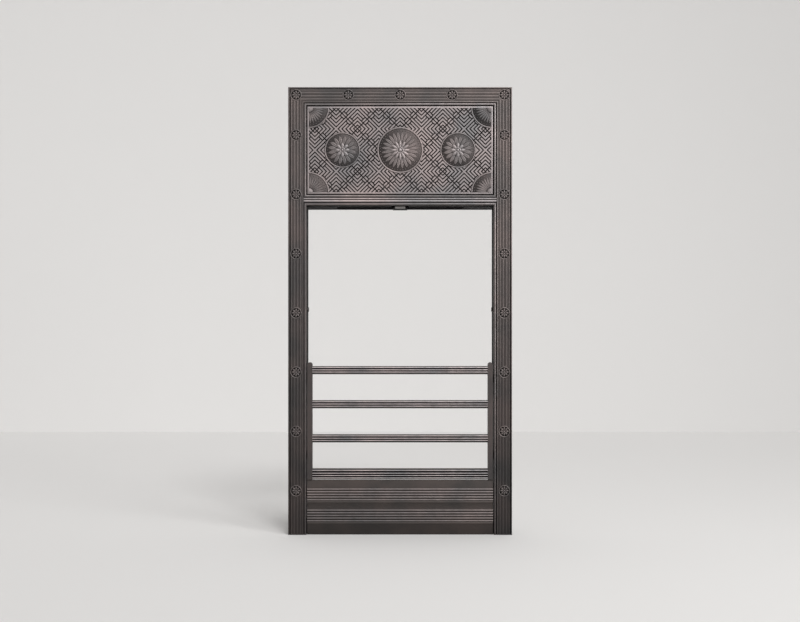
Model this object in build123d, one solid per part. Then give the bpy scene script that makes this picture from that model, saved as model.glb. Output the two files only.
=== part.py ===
from build123d import *
from math import pi, sin
import os

# Register grate front: the cast iron face of a small bedroom fireplace, 36 by 18 inches.
# It stands on the hearth against the wall. X runs across, Y into the chimney and Z up.
# The origin is on the floor, in the middle of the width, on the plane where the frame
# meets the wall. Lengths are in millimetres.

# Front frame: overall sizes
FRONT_WIDTH = 457.0
FRONT_HEIGHT = 914.0
FRONT_DEPTH = 16.0
PANEL_OPENING_HEIGHT = 183.0

# Reeded moulding of the stiles and top rail, from the outer edge inwards
EDGE_BEAD = 3.0
REED_WIDTHS = (4.8, 6.5, 6.6, 6.0)
INNER_BEAD = 3.9
QUIRK = 0.9
RIM_BEAD = 4.4
TRANSOM_REEDS = (4.2, 5.8)
BEAD_RISE = 1.4
REED_RISE = 1.1
QUIRK_DEPTH = 1.4

# Back of the frame casting: a channel between two return walls, with ribs across it
WEB = 6.4
OUTER_WALL = 5.0
RIB_THICKNESS = 4.0
RIB_SETBACK = 2.0
RIB_FOOT = 50.0
RIB_SPACING = 160.0
FOOT_PAD = 8.0

# Pads with blind holes, for the straps that hold the frame to the wall
WALL_PAD = 18.0
WALL_HOLE_RADIUS = 4.0
WALL_HOLE_DEPTH = 10.0
WALL_PAD_INSET = 16.5
WALL_PAD_LEVEL = 570.0

# Square-headed screws in tapped pads
SCREW_RADIUS = 3.0
SCREW_REACH = 10.0
SCREW_HEAD = 10.0
SCREW_HEAD_HEIGHT = 4.0
SCREW_PAD = 14.0
HOLE_CLEARANCE = 0.3

# Hood panel: a dished casting let into the upper opening from behind
PANEL_GAP = 2.2
PANEL_FIELD_SETBACK = 3.4
PANEL_BORDER = 3.2
PANEL_BORDER_RISE = 1.4
PANEL_SKIN = 5.5
PANEL_WALL = 5.0
PANEL_FLANGE = 5.0
PANEL_FLANGE_REACH = 9.0
PANEL_FLANGE_FOOT = 4.0
PANEL_EAR_REACH = 24.0
PANEL_EAR_HEIGHT = 30.0
PANEL_SCREW_OUTSET = 15.5

# Relief on the hood panel: a roundel, two rosettes and a fan in each corner
RELIEF_SINK = 1.0
RELIEF_TAPER = 20.0
ROUNDEL_RADIUS = 48.0
ROUNDEL_RISE = 3.0
ROUNDEL_PETALS = 12
ROSETTE_RADIUS = 37.0
ROSETTE_RISE = 2.6
ROSETTE_PETALS = 8
ROSETTE_OFFSET = 118.0
FAN_RADIUS = 42.0
FAN_RISE = 2.2
FAN_PETALS = 4
DISC_SHARE = 0.4
BOSS_SHARE = 0.26
PETAL_WAIST_SHARE = 0.62
PETAL_TIP_SHARE = 0.92
PETAL_FILL = 0.72

# Cheeks: angle-section side plates behind the stiles
CHEEK_THICKNESS = 5.0
CHEEK_DEPTH = 46.0
CHEEK_FLANGE = 14.0
CHEEK_LEDGE_REACH = 6.0
CHEEK_LEDGE_DEPTH = 6.0
CHEEK_LEDGE_HEIGHT = 16.0
CHEEK_LEDGE_LEVEL = 72.0

# Lugs on the frame and the round-headed bolts that hold the cheeks to them
LUG_THICKNESS = 7.0
LUG_WIDTH = 26.0
LUG_CORNER = 8.0
LUG_END = 26.0
CHEEK_BOLT_SETBACK = 13.0
CHEEK_BOLT_RADIUS = 3.25
CHEEK_BOLT_HEAD_RADIUS = 4.5
CHEEK_BOLT_HEAD_HEIGHT = 3.4
LOW_BOLT_LEVEL = 92.0
TOP_BOLT_LEVEL = 460.0
NUT_WIDTH = 11.0
NUT_HEIGHT = 5.0
BOLT_TAIL = 2.0

# Ashpit cover: a loose reeded plate standing on the hearth below the bars
COVER_CLEARANCE = 1.5
COVER_HEIGHT = 111.9
COVER_SETBACK = 3.2
COVER_SKIN = 5.5
COVER_SIDE_WEB = 6.0
COVER_SEAT_GAP = 0.3
COVER_BEAD = 5.4
COVER_BEAD_COUNT = 5
COVER_BEAD_RISE = 1.7
COVER_LAST_BEAD = 4.0
COVER_LAST_RISE = 0.9
COVER_TOP_FLAT = 16.5
COVER_MIDDLE_FLAT = 12.0
COVER_FOOT_REACH = 28.0
COVER_FOOT_TOE = 6.0
COVER_FOOT_HEIGHT = 50.0

# Front bars: four reeded bars tenoned into two side rails
BAR_COUNT = 4
BAR_PITCH = 69.8
BAR_SETBACK = 2.6
BAR_DEPTH = 11.0
BAR_BEADS = (5.1, 4.5, 4.4)
BAR_SLOPE = 2.6
LOW_BAR_BEADS = (6.6, 4.9, 4.6, 5.4)
LOW_BAR_SLOPE = 0.5
LOW_BAR_LIFT = 22.0
BAR_BEAD_RISE = 1.9
TENON_WIDTH = 7.0
TENON_HEIGHT = 8.0
RAIL_CLEARANCE = 2.0
RAIL_LIFT = 0.7
RAIL_WIDTH = 10.2
RAIL_SETBACK = 2.0
RAIL_DEPTH = 13.0
RAIL_CROWN = 8.0

# Studs on the cheeks and the hooks of the bar frame that hang on them
STUD_RADIUS = 4.0
STUD_OVERHANG = 0.5
STUD_SETBACK = 18.0
LOW_STUD_LIFT = 47.4
TOP_STUD_DROP = 34.0
HOOK_THICKNESS = 6.0
HOOK_CLEARANCE = 0.4
HOOK_CROWN = 8.0
HOOK_BEAK = 4.6
HOOK_CORNER = 2.5
HOOK_DROP = 8.0

# Register plate: the shelf across the chimney throat, behind the transom
PLATE_DROP = 1.4
PLATE_THICKNESS = 6.0
PLATE_TAIL = 16.0
PLATE_FLANGE = 5.0
PLATE_FLANGE_GAP = 1.0
PLATE_REAR_RISE = 10.0
PLATE_SCREW_INSET = 66.0
THROAT_SIDE = 59.5
THROAT_FRONT = 24.0
THROAT_DEPTH = 42.0

# Register flap: the damper that closes the throat, turning on trunnions in open notches
FLAP_SIDE_LAP = 8.0
FLAP_FRONT_LAP = 6.0
FLAP_THICKNESS = 5.0
FLAP_SEAT_GAP = 0.4
FLAP_RIB_WIDTH = 4.0
FLAP_RIB_RISE = 4.0
HINGE_GAP = 10.0
HINGE_HEIGHT = 8.0
TRUNNION_RADIUS = 3.0
TRUNNION_RUNNING = 0.08
HINGE_LUG_INSET = 10.8
HINGE_LUG_THICKNESS = 8.0
HINGE_LUG_WIDTH = 15.0
HINGE_LUG_RISE = 5.0
HINGE_SIDE_PLAY = 0.7
HINGE_BOSS = 10.0
HINGE_BOSS_LENGTH = 20.5
HINGE_CUT_GAP = 3.6
STOP_NIB_LENGTH = 9.4
STOP_NIB_ANGLE = 58.0
STOP_NIB_WIDTH = 8.0
STOP_NIB_THICKNESS = 4.0

# Lifting tongue riveted under the flap, reaching forward through a notch in the plate
TONGUE_HALF = 15.0
TONGUE_CORNER = 6.0
TONGUE_THICKNESS = 4.0
TONGUE_SETBACK = 12.0
TONGUE_DROP = 6.0
TONGUE_PAD_GAP = 10.0
TONGUE_PAD_LENGTH = 26.0
TONGUE_RIVET_RADIUS = 2.5
NOTCH_CLEARANCE = 3.0

# Places that follow from the sizes above
RIM = QUIRK + RIM_BEAD
STILE = EDGE_BEAD + QUIRK + sum(REED_WIDTHS) + INNER_BEAD + RIM
HALF_WIDTH = FRONT_WIDTH / 2
OPENING_HALF = HALF_WIDTH - STILE
PANEL_TOP = FRONT_HEIGHT - STILE
PANEL_BOTTOM = PANEL_TOP - PANEL_OPENING_HEIGHT
PANEL_MIDDLE = (PANEL_BOTTOM + PANEL_TOP) / 2
TRANSOM = 2 * RIM + sum(TRANSOM_REEDS)
FIRE_TOP = PANEL_BOTTOM - TRANSOM
FACE = BEAD_RISE - FRONT_DEPTH
WEB_BACK = FACE + WEB
WALL_PAD_OFFSET = HALF_WIDTH - WALL_PAD_INSET
PANEL_FIELD = PANEL_FIELD_SETBACK - FRONT_DEPTH
PANEL_HALF = OPENING_HALF - PANEL_GAP
CHEEK_OUTER = OPENING_HALF + CHEEK_THICKNESS
CHEEK_BOLT_LEVELS = (LOW_BOLT_LEVEL, TOP_BOLT_LEVEL)
LUG_OUTER = CHEEK_OUTER + LUG_THICKNESS
RAIL_BOTTOM = COVER_HEIGHT + RAIL_LIFT
BAR_TOP = RAIL_BOTTOM + LOW_BAR_LIFT + (BAR_COUNT - 1) * BAR_PITCH
RAIL_TOP = BAR_TOP + RAIL_CROWN
STUD_LEVELS = (RAIL_BOTTOM + LOW_STUD_LIFT, RAIL_TOP - TOP_STUD_DROP)
BAR_FRAME_HALF = OPENING_HALF - RAIL_CLEARANCE
RAIL_INNER = BAR_FRAME_HALF - RAIL_WIDTH
RAIL_BACK = RAIL_SETBACK + RAIL_DEPTH - FRONT_DEPTH
HOOK_MIDDLE = BAR_FRAME_HALF - RAIL_WIDTH / 2
STUD_END = HOOK_MIDDLE - HOOK_THICKNESS / 2 - STUD_OVERHANG
COVER_HALF = OPENING_HALF - COVER_CLEARANCE
PLATE_UNDERSIDE = FIRE_TOP - PLATE_DROP
PLATE_TOP = PLATE_UNDERSIDE + PLATE_THICKNESS
PLATE_SCREW_LEVEL = PANEL_BOTTOM - RIM - sum(TRANSOM_REEDS) / 2
THROAT_HALF = OPENING_HALF - THROAT_SIDE
THROAT_BACK = THROAT_FRONT + THROAT_DEPTH
HINGE_SETBACK = THROAT_BACK + HINGE_GAP
HINGE_LEVEL = PLATE_TOP + HINGE_HEIGHT
PLATE_DEPTH = HINGE_SETBACK + PLATE_TAIL
FLAP_HALF = THROAT_HALF + FLAP_SIDE_LAP
FLAP_FRONT = THROAT_FRONT - FLAP_FRONT_LAP
FLAP_UNDERSIDE = PLATE_TOP + FLAP_SEAT_GAP
HINGE_LUG_OUTER = FLAP_HALF - HINGE_LUG_INSET
HINGE_LUG_INNER = HINGE_LUG_OUTER - HINGE_LUG_THICKNESS
HINGE_BOSS_OUTER = HINGE_LUG_INNER - HINGE_SIDE_PLAY
HINGE_BOSS_INNER = HINGE_BOSS_OUTER - HINGE_BOSS_LENGTH
TONGUE_TOP = FLAP_UNDERSIDE - TONGUE_DROP
TONGUE_PAD_FRONT = THROAT_FRONT + TONGUE_PAD_GAP
TONGUE_BACK = TONGUE_PAD_FRONT + TONGUE_PAD_LENGTH
TONGUE_RIVET_SETBACK = (TONGUE_PAD_FRONT + TONGUE_BACK) / 2
NOTCH_HALF = TONGUE_HALF + NOTCH_CLEARANCE
SIDES = (-1, 1)


def block(low, high):
    """A box from its lowest corner to its highest."""
    size = [b - a for a, b in zip(low, high)]
    middle = [(a + b) / 2 for a, b in zip(low, high)]
    return Pos(*middle) * Box(*size)


def sided_block(side, low, high):
    """A box on one side of the middle plane, given as it lies on the right."""
    if side > 0:
        return block(low, high)
    return block((-high[0], low[1], low[2]), (-low[0], high[1], high[2]))


def rod_x(radius, x_low, x_high, y, z):
    """A round bar along X."""
    bar = Rot(0, 90, 0) * Cylinder(radius, x_high - x_low)
    return Pos((x_low + x_high) / 2, y, z) * bar


def sided_rod(side, radius, near, far, y, z):
    """A round bar along X from near to far of the middle plane, on one side of it."""
    ends = sorted((side * near, side * far))
    return rod_x(radius, ends[0], ends[1], y, z)


def rod_y(radius, y_low, y_high, x, z):
    """A round bar along Y."""
    bar = Rot(90, 0, 0) * Cylinder(radius, y_high - y_low)
    return Pos(x, (y_low + y_high) / 2, z) * bar


def rod_z(radius, z_low, z_high, x, y):
    """A round bar along Z."""
    return Pos(x, y, (z_low + z_high) / 2) * Cylinder(radius, z_high - z_low)


def bead_line(start, steps, base):
    """Edges of a row of beads, quirks and flats from one place along a section to another.

    Each step is a kind, a width and a height. The line is in (along, depth) pairs, where a
    bead rises towards -depth from the base and a quirk sinks the other way.
    """
    edges = []
    here = start
    for kind, width, height in steps:
        there = here + width
        if kind == "bead":
            middle = ((here + there) / 2, base - height)
            edges.append(ThreePointArc((here, base), middle, (there, base)))
        elif kind == "quirk":
            edges.append(Line((here, base), (here, base + height)))
            edges.append(Line((here, base + height), (there, base + height)))
            edges.append(Line((there, base + height), (there, base)))
        else:
            edges.append(Line((here, base), (there, base)))
        here = there
    return edges


def closed_section(edges, points):
    """A face bounded by a moulded line and by straight edges through the given points."""
    chain = [edges[-1] @ 1, *[Vector(*p) for p in points], edges[0] @ 0]
    straight = [Line(a, b) for a, b in zip(chain, chain[1:])]
    return make_face([*edges, *straight])


def stile_steps():
    """Beads and reeds of the stile, from its outer edge to the quirk beside the rim bead."""
    reeds = [("bead", width, REED_RISE) for width in REED_WIDTHS]
    return [
        ("bead", EDGE_BEAD, BEAD_RISE),
        ("quirk", QUIRK, QUIRK_DEPTH),
        *reeds,
        ("bead", INNER_BEAD, BEAD_RISE),
    ]


def outer_moulding():
    """The reeded border: up one stile, along the top rail and down the other stile."""
    edges = bead_line(-HALF_WIDTH, stile_steps(), FACE)
    inner = -HALF_WIDTH + STILE - RIM
    wall = -HALF_WIDTH + OUTER_WALL
    section = closed_section(
        edges, [(inner, WEB_BACK), (wall, WEB_BACK), (wall, 0), (-HALF_WIDTH, 0)]
    )
    path = Polyline(
        (-HALF_WIDTH, 0, 0),
        (-HALF_WIDTH, 0, FRONT_HEIGHT),
        (HALF_WIDTH, 0, FRONT_HEIGHT),
        (HALF_WIDTH, 0, 0),
    )
    return sweep(section, path=path, transition=Transition.RIGHT)


def rim_section(outer):
    """Quirk, rim bead and return wall, from their outer side to the opening's edge."""
    steps = [("bead", RIM_BEAD, BEAD_RISE)]
    edges = bead_line(outer + QUIRK, steps, FACE)
    floor = FACE + QUIRK_DEPTH
    return closed_section(
        edges,
        [(outer + RIM, 0), (outer, 0), (outer, floor), (outer + QUIRK, floor)],
    )


def fire_rim():
    """The rim bead round the top and sides of the fire opening."""
    section = rim_section(-OPENING_HALF - RIM)
    path = Polyline(
        (-OPENING_HALF, 0, 0),
        (-OPENING_HALF, 0, FIRE_TOP),
        (OPENING_HALF, 0, FIRE_TOP),
        (OPENING_HALF, 0, 0),
    )
    return sweep(section, path=path, transition=Transition.RIGHT)


def panel_rim():
    """The rim bead round all four sides of the panel opening, as two mitred halves."""
    section = Pos(0, 0, PANEL_MIDDLE) * rim_section(-OPENING_HALF - RIM)
    halves = []
    for end in (PANEL_TOP, PANEL_BOTTOM):
        path = Polyline(
            (-OPENING_HALF, 0, PANEL_MIDDLE),
            (-OPENING_HALF, 0, end),
            (OPENING_HALF, 0, end),
            (OPENING_HALF, 0, PANEL_MIDDLE),
        )
        halves.append(sweep(section, path=path, transition=Transition.RIGHT))
    return halves[0] + halves[1]


def transom_reeds():
    """The reeds between the two rim beads of the transom."""
    top = PANEL_BOTTOM - RIM
    steps = [("bead", width, REED_RISE) for width in reversed(TRANSOM_REEDS)]
    edges = bead_line(top - sum(TRANSOM_REEDS), steps, FACE)
    section = closed_section(edges, [(top, WEB_BACK), (top - sum(TRANSOM_REEDS), WEB_BACK)])
    half = OPENING_HALF + RIM
    plane = Plane(origin=(-half, 0, 0), x_dir=(0, 0, 1), z_dir=(-1, 0, 0))
    return extrude(plane * section, amount=-2 * half)


def cheek_lug(side, level):
    """A lug behind the stile, to which a cheek is bolted."""
    low = (CHEEK_OUTER, WEB_BACK - 1, level - LUG_WIDTH / 2)
    lug = sided_block(side, low, (LUG_OUTER, LUG_END, level + LUG_WIDTH / 2))
    corners = lug.edges().filter_by(Axis.X).sort_by(Axis.Y)[-2:]
    hole = CHEEK_BOLT_RADIUS + HOLE_CLEARANCE
    near, far = CHEEK_OUTER - 1, LUG_OUTER + 1
    return chamfer(corners, LUG_CORNER) - sided_rod(side, hole, near, far, CHEEK_BOLT_SETBACK, level)


def channel_ribs():
    """Ribs across the channel at the back of the stiles and of the top rail, and the feet."""
    front, back = WEB_BACK - 1, -RIB_SETBACK
    levels = [RIB_FOOT]
    while levels[-1] + RIB_SPACING < PANEL_TOP:
        levels.append(levels[-1] + RIB_SPACING)
    bands = [(level - RIB_THICKNESS / 2, level + RIB_THICKNESS / 2) for level in levels]
    ribs = []
    for side in SIDES:
        for low, high in [(0, FOOT_PAD), *bands]:
            ribs.append(
                sided_block(side, (OPENING_HALF + 1, front, low), (HALF_WIDTH - 1, back, high))
            )
    for x in (-RIB_SPACING, 0, RIB_SPACING):
        low = (x - RIB_THICKNESS / 2, front, PANEL_TOP + 1)
        high = (x + RIB_THICKNESS / 2, back, FRONT_HEIGHT - 1)
        ribs.append(block(low, high))
    return ribs


def wall_places():
    """Middles of the blind holes for the wall straps."""
    return [(side * WALL_PAD_OFFSET, WALL_PAD_LEVEL) for side in SIDES]


def panel_places():
    """Middles of the screws that hold the hood panel."""
    return [(side * (OPENING_HALF + PANEL_SCREW_OUTSET), PANEL_MIDDLE) for side in SIDES]


def plate_places():
    """Middles of the screws that hold the register plate to the transom."""
    return [(side * (OPENING_HALF - PLATE_SCREW_INSET), PLATE_SCREW_LEVEL) for side in SIDES]


def back_pad(size, x, z):
    """A square pad in the channel, level with the wall plane, that takes a screw."""
    return block((x - size / 2, WEB_BACK - 1, z - size / 2), (x + size / 2, 0, z + size / 2))


def front_frame():
    """The surround: stiles, top rail and transom in one casting."""
    frame = outer_moulding() + fire_rim() + panel_rim() + transom_reeds()
    frame += channel_ribs()
    frame += [cheek_lug(side, level) for side in SIDES for level in CHEEK_BOLT_LEVELS]
    screws = [*panel_places(), *plate_places()]
    frame += [back_pad(SCREW_PAD, x, z) for x, z in screws]
    frame += [back_pad(WALL_PAD, x, z) for x, z in wall_places()]
    frame -= [rod_y(SCREW_RADIUS, -SCREW_REACH, 1, x, z) for x, z in screws]
    return frame - [rod_y(WALL_HOLE_RADIUS, -WALL_HOLE_DEPTH, 1, x, z) for x, z in wall_places()]


def petalled_disc(radius, rise, count, turn):
    """A medallion made flat: a low disc, a ring of tapering petals and a round boss.

    It stands on Z = 0 with a foot below, and turn is the share of full circle it fills.
    """
    low = DISC_SHARE * rise
    waist, tip, boss = PETAL_WAIST_SHARE * radius, PETAL_TIP_SHARE * radius, BOSS_SHARE * radius
    wide = PETAL_FILL * waist * sin(pi * turn / count)
    narrow = wide * boss / waist
    outline = Polyline(
        (boss / 2, -narrow), (waist, -wide), (tip, 0), (waist, wide), (boss / 2, narrow), close=True
    )
    petal = Pos(0, 0, low) * extrude(make_face(outline), amount=rise - low, taper=RELIEF_TAPER)
    disc = Pos(0, 0, (low - RELIEF_SINK) / 2) * Cylinder(radius, low + RELIEF_SINK)
    disc += [Rot(0, 0, (n + 0.5) * 360 * turn / count) * petal for n in range(count)]
    return disc + Pos(0, 0, rise / 2) * Cylinder(boss, rise)


def panel_relief():
    """Everything raised on the panel's field, inside its border."""
    half = PANEL_HALF - PANEL_BORDER
    height = PANEL_OPENING_HEIGHT / 2 - PANEL_GAP - PANEL_BORDER
    roundel = petalled_disc(ROUNDEL_RADIUS, ROUNDEL_RISE, ROUNDEL_PETALS, 1)
    rosette = petalled_disc(ROSETTE_RADIUS, ROSETTE_RISE, ROSETTE_PETALS, 1)
    fan = petalled_disc(FAN_RADIUS, FAN_RISE, FAN_PETALS, 0.25)
    quarter = Pos(FAN_RADIUS / 2, FAN_RADIUS / 2, 0) * Box(FAN_RADIUS, FAN_RADIUS, 3 * FAN_RISE)
    fan = Pos(-half, -height, 0) * (fan & quarter)
    fans = [fan, mirror(fan, Plane.YZ), mirror(fan, Plane.XZ), Rot(0, 0, 180) * fan]
    rosettes = [Pos(side * ROSETTE_OFFSET, 0, 0) * rosette for side in SIDES]
    upright = Pos(0, PANEL_FIELD, PANEL_MIDDLE) * Rot(90, 0, 0)
    return [upright * shape for shape in (roundel, *rosettes, *fans)]


def hood_panel():
    """The dished panel: skin, side walls, and a flange with ears that lies on the frame."""
    low, high = PANEL_BOTTOM + PANEL_GAP, PANEL_TOP - PANEL_GAP
    body = block((-PANEL_HALF, PANEL_FIELD, low), (PANEL_HALF, PANEL_FLANGE, high))
    crest = PANEL_FIELD - PANEL_BORDER_RISE
    border = block((-PANEL_HALF, crest, low), (PANEL_HALF, PANEL_FIELD, high))
    border -= block(
        (PANEL_BORDER - PANEL_HALF, crest - 1, low + PANEL_BORDER),
        (PANEL_HALF - PANEL_BORDER, PANEL_FIELD, high - PANEL_BORDER),
    )
    reach = OPENING_HALF + PANEL_FLANGE_REACH
    flange = block(
        (-reach, 0, PANEL_BOTTOM - PANEL_FLANGE_FOOT),
        (reach, PANEL_FLANGE, PANEL_TOP + PANEL_FLANGE_REACH),
    )
    panel = body + border + flange
    ears, tall = OPENING_HALF + PANEL_EAR_REACH, PANEL_EAR_HEIGHT / 2
    panel += block((-ears, 0, PANEL_MIDDLE - tall), (ears, PANEL_FLANGE, PANEL_MIDDLE + tall))
    panel -= block(
        (PANEL_WALL - PANEL_HALF, PANEL_FIELD + PANEL_SKIN, low + PANEL_WALL),
        (PANEL_HALF - PANEL_WALL, PANEL_FLANGE + 1, high - PANEL_WALL),
    )
    hole = SCREW_RADIUS + HOLE_CLEARANCE
    panel -= [rod_y(hole, -1, PANEL_FLANGE + 1, x, z) for x, z in panel_places()]
    return panel + panel_relief()


def back_screws(places, seat):
    """Square-headed screws driven from behind into pads, given as (x, z) places."""
    screws = []
    for x, z in places:
        head = block(
            (x - SCREW_HEAD / 2, seat, z - SCREW_HEAD / 2),
            (x + SCREW_HEAD / 2, seat + SCREW_HEAD_HEIGHT, z + SCREW_HEAD / 2),
        )
        screws.append(head + rod_y(SCREW_RADIUS, -SCREW_REACH, seat, x, z))
    return Compound(screws)


def cheek(side):
    """A side plate behind the stile, with a rear flange and a ledge that stops the cover."""
    web = sided_block(
        side, (OPENING_HALF, 0, 0), (CHEEK_OUTER, CHEEK_DEPTH, PLATE_UNDERSIDE)
    )
    flange = sided_block(
        side,
        (OPENING_HALF, CHEEK_DEPTH - CHEEK_THICKNESS, 0),
        (CHEEK_OUTER + CHEEK_FLANGE, CHEEK_DEPTH, PLATE_UNDERSIDE),
    )
    ledge = sided_block(
        side,
        (OPENING_HALF - CHEEK_LEDGE_REACH, 0, CHEEK_LEDGE_LEVEL),
        (OPENING_HALF + 1, CHEEK_LEDGE_DEPTH, CHEEK_LEDGE_LEVEL + CHEEK_LEDGE_HEIGHT),
    )
    plate = web + flange + ledge
    near, far = OPENING_HALF - 1, CHEEK_OUTER + 1
    bolt_hole = CHEEK_BOLT_RADIUS + HOLE_CLEARANCE
    y = CHEEK_BOLT_SETBACK
    plate -= [sided_rod(side, bolt_hole, near, far, y, z) for z in CHEEK_BOLT_LEVELS]
    return plate - [sided_rod(side, STUD_RADIUS, near, far, STUD_SETBACK, z) for z in STUD_LEVELS]


def cheek_bolts():
    """Round-headed bolts through the cheeks and lugs, heads inside the opening."""
    bolts = []
    head_end, tail_end = OPENING_HALF - CHEEK_BOLT_HEAD_HEIGHT, LUG_OUTER + NUT_HEIGHT + BOLT_TAIL
    y = CHEEK_BOLT_SETBACK
    for side in SIDES:
        for level in CHEEK_BOLT_LEVELS:
            shank = sided_rod(side, CHEEK_BOLT_RADIUS, OPENING_HALF, tail_end, y, level)
            head = sided_rod(side, CHEEK_BOLT_HEAD_RADIUS, head_end, OPENING_HALF, y, level)
            bolts.append(shank + head)
    return Compound(bolts)


def cheek_nuts():
    """Square nuts on the cheek bolts."""
    nuts = []
    near, far, half = LUG_OUTER, LUG_OUTER + NUT_HEIGHT, NUT_WIDTH / 2
    y = CHEEK_BOLT_SETBACK
    for side in SIDES:
        for level in CHEEK_BOLT_LEVELS:
            nut = sided_block(side, (near, y - half, level - half), (far, y + half, level + half))
            bore = sided_rod(side, CHEEK_BOLT_RADIUS, near - 1, far + 1, y, level)
            nuts.append(nut - bore)
    return Compound(nuts)


def bar_studs():
    """Studs riveted flush in the cheeks, on which the bar frame hangs."""
    return Compound([
        sided_rod(side, STUD_RADIUS, STUD_END, CHEEK_OUTER, STUD_SETBACK, level)
        for side in SIDES for level in STUD_LEVELS
    ])


def bar_rows():
    """Top, bead widths and underside slope of each bar, from the top one down."""
    rows = [(BAR_TOP - n * BAR_PITCH, BAR_BEADS, BAR_SLOPE) for n in range(BAR_COUNT - 1)]
    return [*rows, (BAR_TOP - (BAR_COUNT - 1) * BAR_PITCH, LOW_BAR_BEADS, LOW_BAR_SLOPE)]


def tenon(side, top, beads):
    """The square end of a bar, which passes through the rail."""
    level = top - sum(beads) / 2
    depth = BAR_SETBACK + BAR_BEAD_RISE - FRONT_DEPTH + BAR_DEPTH / 2
    return sided_block(
        side,
        (RAIL_INNER - 1, depth - TENON_WIDTH / 2, level - TENON_HEIGHT / 2),
        (BAR_FRAME_HALF, depth + TENON_WIDTH / 2, level + TENON_HEIGHT / 2),
    )


def bar(top, beads, slope):
    """One reeded bar between the rails, with a sloping underside and a tenon at each end."""
    base = BAR_SETBACK + BAR_BEAD_RISE - FRONT_DEPTH
    low = top - sum(beads)
    steps = [("bead", width, BAR_BEAD_RISE) for width in reversed(beads)]
    edges = bead_line(low, steps, base)
    back = base + BAR_DEPTH
    section = closed_section(
        edges, [(top, back), (low - slope, back), (low - slope, base + BAR_DEPTH / 2)]
    )
    plane = Plane(origin=(-RAIL_INNER, 0, 0), x_dir=(0, 0, 1), z_dir=(-1, 0, 0))
    body = extrude(plane * section, amount=-2 * RAIL_INNER)
    return body + [tenon(side, top, beads) for side in SIDES]


def hook(side, level):
    """A hook behind the rail, open below, that drops over a stud."""
    gap = STUD_RADIUS + HOOK_CLEARANCE
    near, far = HOOK_MIDDLE - HOOK_THICKNESS / 2, HOOK_MIDDLE + HOOK_THICKNESS / 2
    arm = sided_block(
        side,
        (near, RAIL_BACK - 1, level - HOOK_DROP),
        (far, STUD_SETBACK + gap + HOOK_BEAK, level + gap + HOOK_CROWN),
    )
    slot = sided_block(
        side, (near - 1, STUD_SETBACK - gap, level - HOOK_DROP - 1),
        (far + 1, STUD_SETBACK + gap, level),
    )
    crown = sided_rod(side, gap, near - 1, far + 1, STUD_SETBACK, level)
    corners = arm.edges().filter_by(Axis.X).sort_by(Axis.Y)[-2:]
    return chamfer(corners, HOOK_CORNER) - slot - crown


def rail(side):
    """A side rail with a round top, mortises for the bars and hooks at the back."""
    front = RAIL_SETBACK - FRONT_DEPTH
    radius = RAIL_WIDTH / 2
    body = sided_block(
        side, (RAIL_INNER, front, RAIL_BOTTOM), (BAR_FRAME_HALF, RAIL_BACK, RAIL_TOP - radius)
    )
    body += rod_y(radius, front, RAIL_BACK, side * HOOK_MIDDLE, RAIL_TOP - radius)
    body += [hook(side, level) for level in STUD_LEVELS]
    return body - [tenon(side, top, beads) for top, beads, _ in bar_rows()]


def cover_steps():
    """Flats and reeded bands of the ashpit cover, from the floor up."""
    band = COVER_LAST_BEAD + COVER_BEAD * COVER_BEAD_COUNT
    last = ("bead", COVER_LAST_BEAD, COVER_LAST_RISE)
    beads = [last, *[("bead", COVER_BEAD, COVER_BEAD_RISE)] * COVER_BEAD_COUNT]
    foot_flat = COVER_HEIGHT - COVER_TOP_FLAT - COVER_MIDDLE_FLAT - 2 * band
    return [
        ("flat", foot_flat, 0), *beads,
        ("flat", COVER_MIDDLE_FLAT, 0), *beads,
        ("flat", COVER_TOP_FLAT, 0),
    ]


def ashpit_cover():
    """The loose plate below the bars, with reeded bands and side webs that spread into feet."""
    face = COVER_SETBACK + COVER_BEAD_RISE - FRONT_DEPTH
    back = face + COVER_SKIN
    seat = -COVER_SEAT_GAP
    edges = bead_line(0, cover_steps(), face)
    section = closed_section(edges, [(COVER_HEIGHT, back), (0, back)])
    plane = Plane(origin=(-COVER_HALF, 0, 0), x_dir=(0, 0, 1), z_dir=(-1, 0, 0))
    cover = extrude(plane * section, amount=-2 * COVER_HALF)
    outline = Polyline(
        (back - 1, 0), (COVER_FOOT_REACH, 0), (COVER_FOOT_REACH, COVER_FOOT_TOE),
        (seat, COVER_FOOT_HEIGHT), (seat, COVER_HEIGHT), (back - 1, COVER_HEIGHT), close=True,
    )
    half = COVER_SIDE_WEB / 2
    web = extrude(Plane.YZ * make_face(outline), amount=half, both=True)
    return cover + [Pos(side * (COVER_HALF - half), 0, 0) * web for side in SIDES]


def hinge_lug(side):
    """A lug on the register plate with a notch, open above, for one trunnion of the flap."""
    gap = TRUNNION_RADIUS + TRUNNION_RUNNING
    near, far = HINGE_LUG_INNER, HINGE_LUG_OUTER
    front, back = HINGE_SETBACK - HINGE_LUG_WIDTH / 2, HINGE_SETBACK + HINGE_LUG_WIDTH / 2
    top = HINGE_LEVEL + HINGE_LUG_RISE
    lug = sided_block(side, (near, front, PLATE_TOP - 1), (far, back, top))
    mouth = sided_block(
        side, (near - 1, HINGE_SETBACK - gap, HINGE_LEVEL), (far + 1, HINGE_SETBACK + gap, top + 1)
    )
    return lug - mouth - sided_rod(side, gap, near - 1, far + 1, HINGE_SETBACK, HINGE_LEVEL)


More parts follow.
